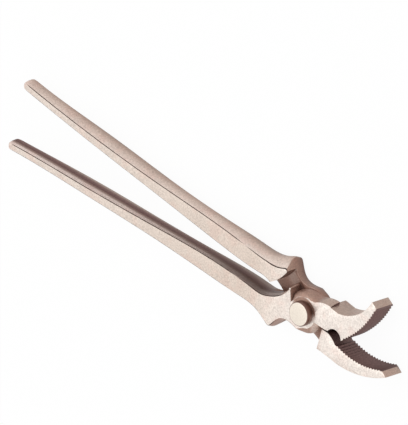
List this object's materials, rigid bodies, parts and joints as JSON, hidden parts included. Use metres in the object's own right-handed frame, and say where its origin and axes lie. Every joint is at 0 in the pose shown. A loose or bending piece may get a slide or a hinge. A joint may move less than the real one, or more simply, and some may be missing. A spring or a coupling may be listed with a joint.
{
  "type": "hoof clincher",
  "caption": "Farrier's curved-jaw clincher: long slim handles crossing in a half lap joint on a large riveted pivot, with short toothed jaws bent to one side.",
  "frame": {"origin": "on the pivot axis, at the flush back end of the rivet, level with the back faces of boss and jaws", "axes": "+X from the pivot towards the jaws, halfway between the two handles; +Y towards the rear lever's handle; +Z along the pivot axis, from the back to the rivet head"},
  "size_m": [0.3079, 0.0557, 0.019],
  "materials": {
    "lever_steel": "polished plating over forged steel, with fine wear",
    "rivet_steel": "polished plating, turned face"
  },
  "bodies": {
    "rear_half": {"rear_lever": "lever_steel", "pivot_rivet": "rivet_steel"},
    "front_half": {"front_lever": "lever_steel"}
  },
  "joints": [
    {"name": "pivot", "type": "hinge", "parent": "rear_half", "child": "front_half", "pos_m": [0, 0, 0.0075], "axis": [0, 0, 1], "range_deg": [-2, 60]}
  ]
}
